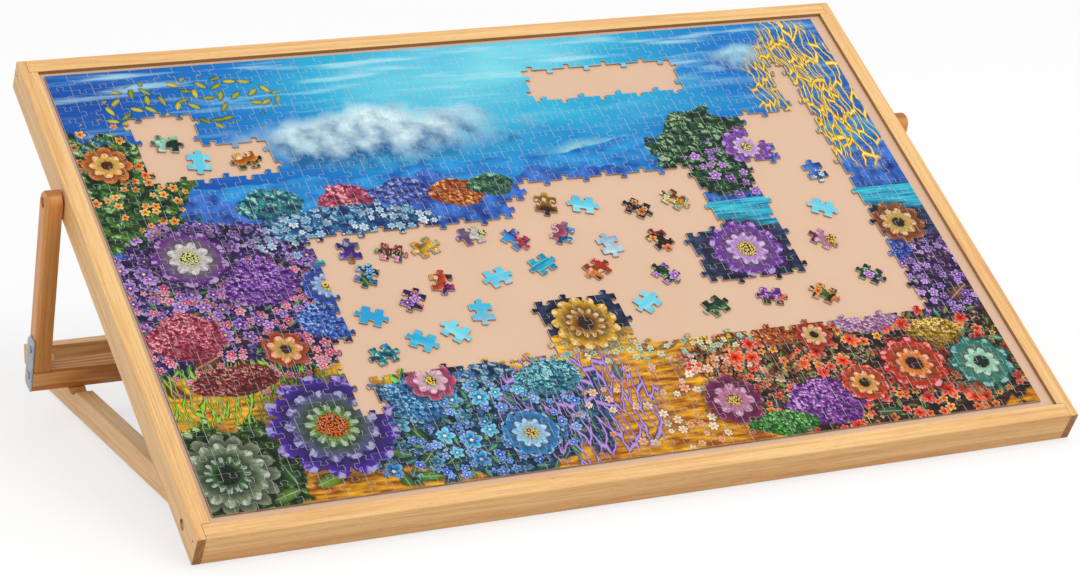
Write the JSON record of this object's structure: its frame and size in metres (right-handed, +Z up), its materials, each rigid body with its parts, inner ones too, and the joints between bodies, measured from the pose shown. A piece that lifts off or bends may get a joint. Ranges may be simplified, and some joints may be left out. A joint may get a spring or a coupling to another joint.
{
  "type": "jigsaw puzzle board",
  "caption": "Wooden tray on a folding stand that holds a jigsaw puzzle under way at a tilt, with assembled and loose pieces.",
  "frame": {"origin": "on the table, under the middle of the standing object's outline", "axes": "+X along the tray's width to the right of a person at its low front rail, +Y back, +Z up"},
  "size_m": [0.8362, 0.5298, 0.295],
  "materials": {
    "rail_wood": "light pine, satin varnish",
    "stand_wood": "pine, satin varnish",
    "panel_board": "brown board, smooth",
    "facing": "pinkish beige, matt",
    "zinc_plate": "zinc plated",
    "screw_steel": "zinc plated",
    "puzzle_card": null
  },
  "bodies": {
    "tray": {"left_side_rail": "rail_wood", "right_side_rail": "rail_wood", "left_leg_screw": "screw_steel", "right_leg_screw": "screw_steel", "left_corner_brads": "screw_steel", "right_corner_brads": "screw_steel", "bottom_rail": "rail_wood", "top_rail": "rail_wood", "back_panel": "panel_board", "facing_sheet": "facing", "puzzle_assembled": "puzzle_card", "puzzle_loose_pieces": "puzzle_card"},
    "prop_frame": {"left_leg": "stand_wood", "right_leg": "stand_wood", "left_foot_plate": "zinc_plate", "right_foot_plate": "zinc_plate", "left_foot_plate_screws": "screw_steel", "right_foot_plate_screws": "screw_steel", "crossbar": "stand_wood"},
    "base_frame": {"left_arm": "stand_wood", "right_arm": "stand_wood", "left_arm_screw": "screw_steel", "right_arm_screw": "screw_steel", "rear_bar": "stand_wood"}
  },
  "joints": [
    {"name": "prop_fold", "type": "hinge", "parent": "tray", "child": "prop_frame", "pos_m": [0, 0.07667, 0.2046], "axis": [1, 0, 0], "range_deg": [0, 102.3]},
    {"name": "base_swing", "type": "hinge", "parent": "tray", "child": "base_frame", "pos_m": [0, -0.22823, 0.02549], "axis": [1, 0, 0], "range_deg": [-80, 0]}
  ]
}
